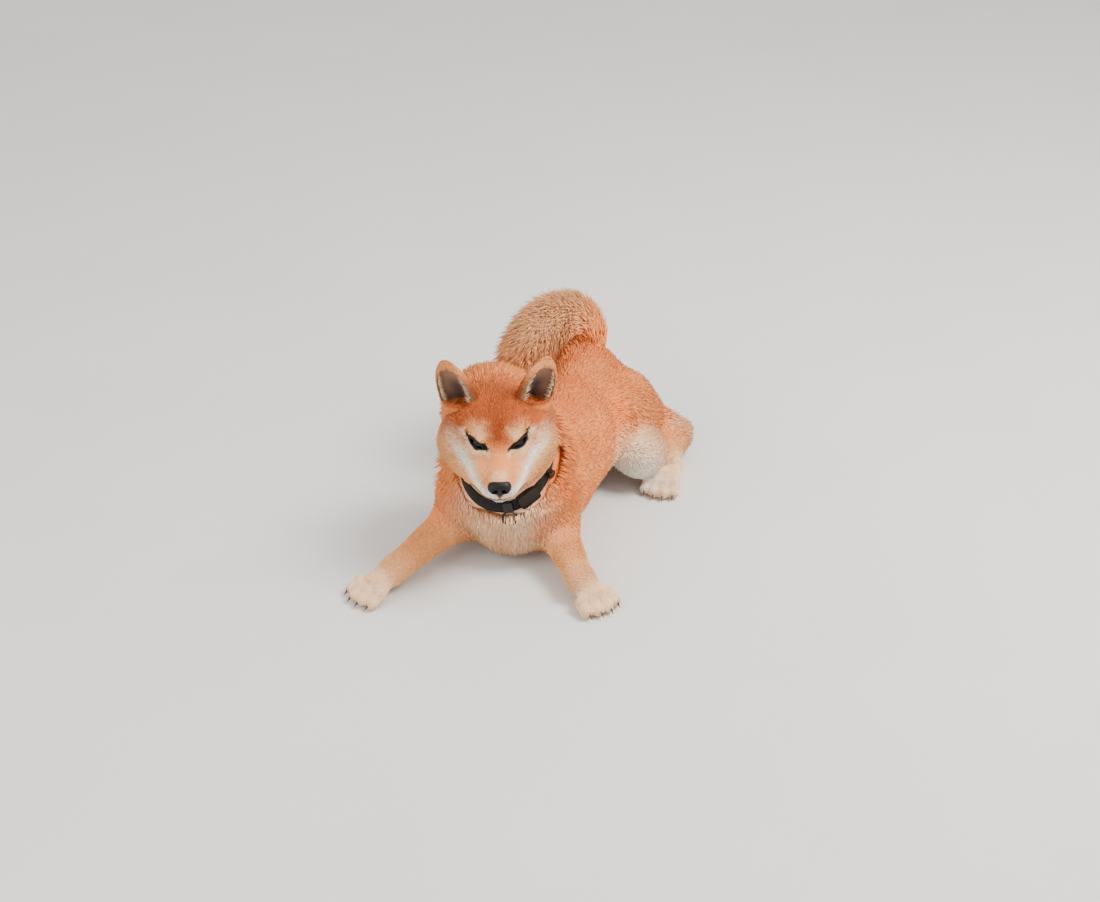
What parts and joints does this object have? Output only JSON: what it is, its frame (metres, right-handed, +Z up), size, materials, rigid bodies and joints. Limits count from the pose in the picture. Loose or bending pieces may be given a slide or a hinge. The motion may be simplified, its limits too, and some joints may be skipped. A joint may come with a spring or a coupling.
{
  "type": "lying shiba inu, life-size still model",
  "caption": "Life-size still model of a young red shiba inu lying on its chest with forelegs spread, head up and tail curled over its back, wearing a plain collar.",
  "frame": {"origin": "on the floor, under the middle of the bounding box", "axes": "+X to the dog's left, +Y from the nose towards the tail, +Z up from the floor"},
  "size_m": [0.3644, 0.5608, 0.3221],
  "materials": {
    "coat": "short dense red double coat with cream underside",
    "coat_tail": "long bushy red coat with a paler top",
    "coat_ear": "very short dark rust fur with a grey-brown, cream-fringed cup",
    "coat_paws": "short tan to cream fur",
    "nose_leather": "black pebbled nose leather, slightly moist",
    "eye": "wet dark brown eye",
    "claw": "dark horn",
    "collar_webbing": "black woven strap",
    "collar_plastic": "black moulded plastic",
    "collar_metal": "dull plated steel"
  },
  "bodies": {
    "root": {"claw_fore_left_1": "claw", "claw_fore_left_2": "claw", "claw_fore_left_3": "claw", "claw_fore_left_4": "claw", "claw_fore_right_1": "claw", "claw_fore_right_2": "claw", "claw_fore_right_3": "claw", "claw_fore_right_4": "claw", "claw_hind_left_1": "claw", "claw_hind_left_2": "claw", "claw_hind_left_3": "claw", "claw_hind_left_4": "claw", "claw_hind_right_1": "claw", "claw_hind_right_2": "claw", "claw_hind_right_3": "claw", "claw_hind_right_4": "claw", "collar": "collar_webbing", "collar_buckle": "collar_plastic", "collar_ring": "collar_metal", "collar_slide": "collar_plastic", "collar_stud": "collar_metal", "ear_left": "coat_ear", "ear_right": "coat_ear", "eye_left": "eye", "eye_right": "eye", "foot_hind_left": "coat_paws", "foot_hind_right": "coat_paws", "forearm_left": "coat", "forearm_right": "coat", "head": "coat", "neck": "coat", "nose": "nose_leather", "paw_fore_left": "coat_paws", "paw_fore_right": "coat_paws", "shank_left": "coat", "shank_right": "coat", "tail_base": "coat_tail", "tail_curl": "coat_tail", "tail_tip": "coat_tail", "thigh_left": "coat", "thigh_right": "coat", "torso": "coat", "upper_arm_left": "coat", "upper_arm_right": "coat"}
  },
  "joints": []
}
